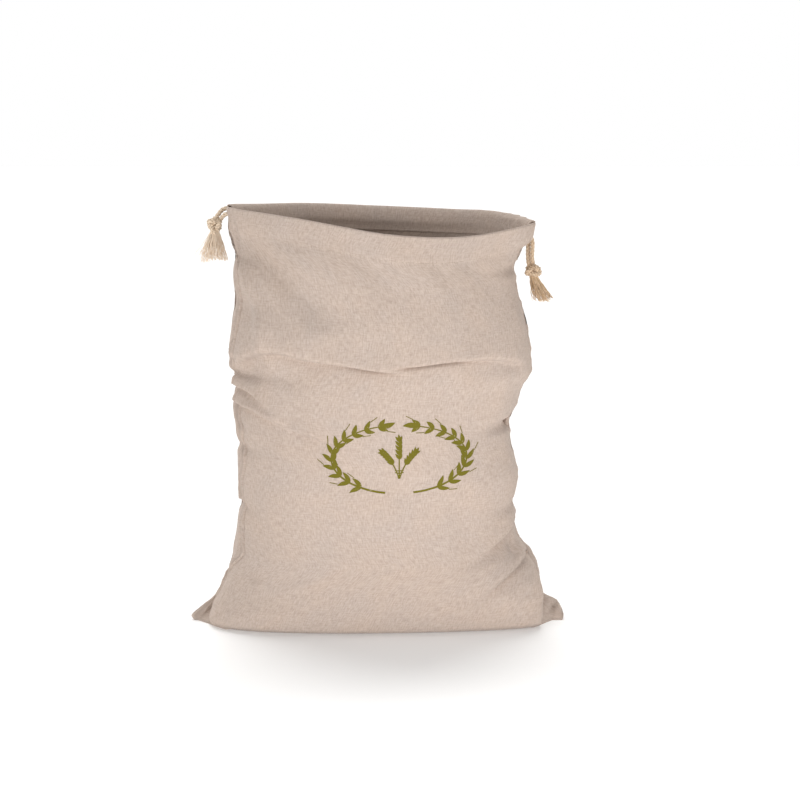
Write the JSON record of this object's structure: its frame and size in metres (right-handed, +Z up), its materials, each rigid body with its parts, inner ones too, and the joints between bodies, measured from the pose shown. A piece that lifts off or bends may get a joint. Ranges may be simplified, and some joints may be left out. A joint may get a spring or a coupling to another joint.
{
  "type": "linen bread bag",
  "caption": "Open-topped linen bread bag standing on a flat base, with gathered side folds, a casing round the mouth and a knotted, tasselled drawcord at each side.",
  "frame": {"origin": "centre of the cloth's base on the surface it stands on, cords and tassels left out", "axes": "+Z up, +X to the right seen from the front, the front panel faces -Y"},
  "size_m": [0.3069, 0.1377, 0.3425],
  "materials": {
    "linen": "natural plain weave, unbleached, with fine slubs",
    "twisted_cotton": "three-strand twisted cord, cream"
  },
  "bodies": {
    "root": {"bag_cloth": "linen", "drawcord_left": "twisted_cotton", "drawcord_right": "twisted_cotton", "tassel_left": "twisted_cotton", "tassel_right": "twisted_cotton"}
  },
  "joints": []
}
